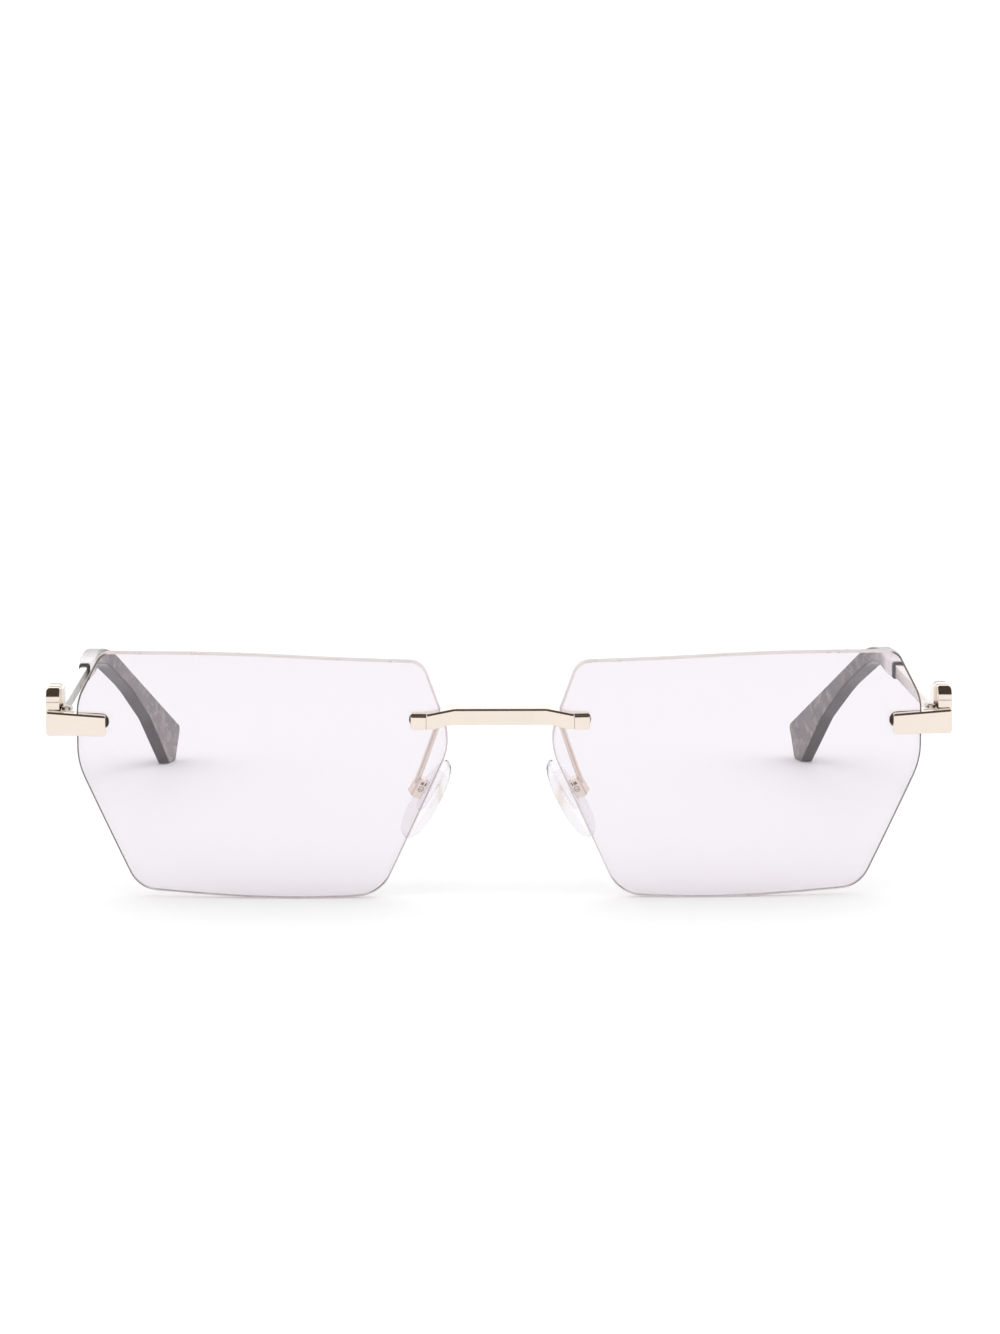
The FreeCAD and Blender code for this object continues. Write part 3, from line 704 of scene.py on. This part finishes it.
# ---------------------------------------------------------------- screws
def screw_tree():
    """Slotted screw on +Z: bevelled head with a slot, shank and a thread wound round it."""
    tree, start, end = new_tree(
        "slotted_screw", "GeometryNodeTree",
        [("Geometry", "NodeSocketGeometry", None), ("Head Radius", "NodeSocketFloat", 0.001),
         ("Head Height", "NodeSocketFloat", 0.0004), ("Shank Radius", "NodeSocketFloat", 0.0005),
         ("Shank Length", "NodeSocketFloat", 0.003), ("Slot Width", "NodeSocketFloat", 0.00025),
         ("Slot Depth", "NodeSocketFloat", 0.0002), ("Pitch", "NodeSocketFloat", 0.00025),
         ("Material", "NodeSocketMaterial", None)],
        [("Geometry", "NodeSocketGeometry")])
    given = start.outputs

    def times(name, factor):
        return maths(tree, "MULTIPLY", given[name], factor)

    def raised(mesh, height):
        lift = combine(tree, {2: height})
        return add(tree, "GeometryNodeTransform", {0: mesh, "Translation": lift}).outputs[0]

    # Head: a barrel, a bevelled crown and the slot
    bevelled = times("Head Height", 0.35)
    wall = maths(tree, "SUBTRACT", given["Head Height"], bevelled)
    barrel = add(tree, "GeometryNodeMeshCylinder", {"Vertices": 48, "Radius": given["Head Radius"],
                                                    "Depth": wall}).outputs["Mesh"]
    barrel = raised(barrel, maths(tree, "MULTIPLY", wall, 0.5))
    crown = add(tree, "GeometryNodeMeshCone", {
        "Vertices": 48, "Radius Bottom": given["Head Radius"], "Depth": bevelled,
        "Radius Top": times("Head Radius", 0.78)}).outputs["Mesh"]
    joined = add(tree, "GeometryNodeMeshBoolean", {1: barrel}, operation="UNION", solver="EXACT")
    tree.links.new(raised(crown, wall), joined.inputs[1])
    size = combine(tree, {0: times("Head Radius", 3.0), 1: given["Slot Width"], 2: times("Slot Depth", 2.0)})
    slot = raised(add(tree, "GeometryNodeMeshCube", {"Size": size}).outputs["Mesh"], given["Head Height"])
    head = add(tree, "GeometryNodeMeshBoolean", {0: joined.outputs[0], 1: slot},
               operation="DIFFERENCE", solver="EXACT").outputs[0]

    # Shank and thread
    shank = add(tree, "GeometryNodeMeshCylinder", {
        "Vertices": 32, "Radius": times("Shank Radius", 0.9), "Depth": given["Shank Length"]}).outputs["Mesh"]
    shank = raised(shank, times("Shank Length", -0.5))
    threaded = times("Shank Length", 0.8)
    coil = add(tree, "GeometryNodeCurveSpiral", {
        "Resolution": 24, "Rotations": maths(tree, "DIVIDE", threaded, given["Pitch"]),
        "Start Radius": times("Shank Radius", 0.88), "End Radius": times("Shank Radius", 0.88),
        "Height": threaded}).outputs[0]
    ridge = add(tree, "GeometryNodeCurvePrimitiveCircle", {
        "Resolution": 4, "Radius": times("Pitch", 0.28)}).outputs[0]
    thread = add(tree, "GeometryNodeCurveToMesh", {"Curve": coil, "Profile Curve": ridge,
                                                   "Fill Caps": True}).outputs[0]
    thread = raised(thread, times("Shank Length", -0.98))

    both = add(tree, "GeometryNodeJoinGeometry", {0: head})
    tree.links.new(shank, both.inputs[0])
    tree.links.new(thread, both.inputs[0])
    real = add(tree, "GeometryNodeRealizeInstances", {0: both.outputs[0]}).outputs[0]
    done = add(tree, "GeometryNodeSetMaterial", {"Geometry": real, "Material": given["Material"]}).outputs[0]
    tree.links.new(done, end.inputs[0])
    return tree


def screw(tree, node, direction, sizes):
    """Detailed screw in the place of a plain one. Direction points out of its head."""
    head_height, shank_radius, slot_depth = [size * MM for size in sizes]
    points = node_points(node)
    centre = box_middle(points)
    along = [(point - centre).dot(direction) for point in points]
    top = max(along)
    ends = [point for point, t in zip(points, along) if t > top - HEAD_BAND * MM]
    # The axis goes through the middle of the head's end, found again from each better guess
    axis = centre
    for _ in range(AXIS_ROUNDS):
        off = [(p - axis) - direction * (p - axis).dot(direction) for p in ends]
        axis = axis + box_middle(off)
    radius = max(((p - axis) - direction * (p - axis).dot(direction)).length for p in points)
    turn = UP.rotation_difference(direction).to_matrix().to_4x4()
    seat = axis + direction * (top - (axis - centre).dot(direction) - head_height)
    piece = grown(node + "_finished", tree, {
        "Head Radius": radius, "Head Height": head_height, "Shank Radius": shank_radius,
        "Shank Length": top - min(along) - head_height, "Slot Depth": slot_depth,
        "Slot Width": SLOT_WIDTH * MM, "Pitch": THREAD_PITCH * MM, "Material": STEEL})
    piece.data.transform(Matrix.Translation(seat) @ turn)
    outward(piece.data)
    smooth_faces(piece.data, SCREW_SHARP_ANGLE)
    finish_piece(piece, node)


def make_screws():
    tree = screw_tree()
    for side in SIDES:
        for name in ("bridge_clamp_screw_", "endpiece_clamp_screw_"):
            node = name + side
            screw(tree, node, lens_normal(box_middle(node_points(node)), side), CLAMP_SCREW)
        screw(tree, "hinge_screw_" + side, UP, HINGE_SCREW)
        forward = (pad_frame(side).to_3x3() @ Vector((-1, 0, 0))).normalized()
        screw(tree, "pad_screw_" + side, forward, PAD_SCREW)


# ---------------------------------------------------------------- nodes that keep their own shape
def paint_nodes():
    """Give each of them the material of its slot."""
    for name, node in frame["nodes"].items():
        if SLOT_OF[name] in PAINT:
            node.data.materials.clear()
            node.data.materials.append(PAINT[SLOT_OF[name]])


# ---------------------------------------------------------------- studio
def make_floor():
    bpy.ops.mesh.primitive_plane_add(size=FLOOR_SIZE, location=(0, 0, 0))
    floor = bpy.context.object
    floor.name = "floor"
    material, _, _ = new_material("pale_floor", Base_Color=FLOOR_COLOUR, Roughness=0.6,
                                  Specular_IOR_Level=0.1)
    floor.data.materials.append(material)


def make_card(name, size, place, turn, colour, glow=0.0):
    """Card that only reflections see."""
    bpy.ops.mesh.primitive_plane_add(size=1, location=place, rotation=turn)
    card = bpy.context.object
    card.name = name
    card.scale = (*size, 1)
    material, _, _ = new_material(name, Base_Color=colour, Roughness=1.0, Emission_Strength=glow,
                                  Specular_IOR_Level=0.0)
    card.data.materials.append(material)
    card.visible_camera = False
    card.visible_diffuse = False
    card.visible_transmission = False
    card.visible_shadow = False


def make_softbox():
    lamp = bpy.data.lights.new("softbox", "AREA")
    lamp.shape = "RECTANGLE"
    lamp.size, lamp.size_y = SOFTBOX_SIZE
    lamp.energy = SOFTBOX_WATTS
    softbox = linked("softbox", lamp)
    softbox.location = SOFTBOX_PLACE
    softbox.rotation_euler = (-softbox.location).to_track_quat("-Z", "Y").to_euler()
    softbox.visible_glossy = False


def make_studio():
    scene = bpy.context.scene
    scene.view_settings.view_transform = "Standard"
    world = bpy.data.worlds.new("studio")
    world.use_nodes = True
    sky = world.node_tree.nodes["Background"]
    sky.inputs["Color"].default_value = SKY_COLOUR
    sky.inputs["Strength"].default_value = SKY_STRENGTH
    scene.world = world
    make_floor()
    make_card("overhead_card", **OVERHEAD_CARD)
    make_card("back_card", **BACK_CARD)
    make_softbox()


def make_camera():
    lens = bpy.data.cameras.new("camera")
    lens.lens = CAMERA_LENS
    lens.sensor_width = SENSOR
    lens.clip_start = CLIP_START
    camera = linked("camera", lens)
    camera.location = CAMERA_PLACE
    camera.rotation_euler = (math.pi / 2 - CAMERA_DOWN, 0, -CAMERA_TURN)
    bpy.context.scene.camera = camera


# ---------------------------------------------------------------- the whole thing
make_camera()
make_studio()
first_lens = upright_lens("first_lens")
STAND = stand_matrix(first_lens.data)
for side in SIDES:
    make_lens(side, first_lens.data)
    nose_pad(side)
bpy.data.objects.remove(first_lens)
make_screws()
paint_nodes()
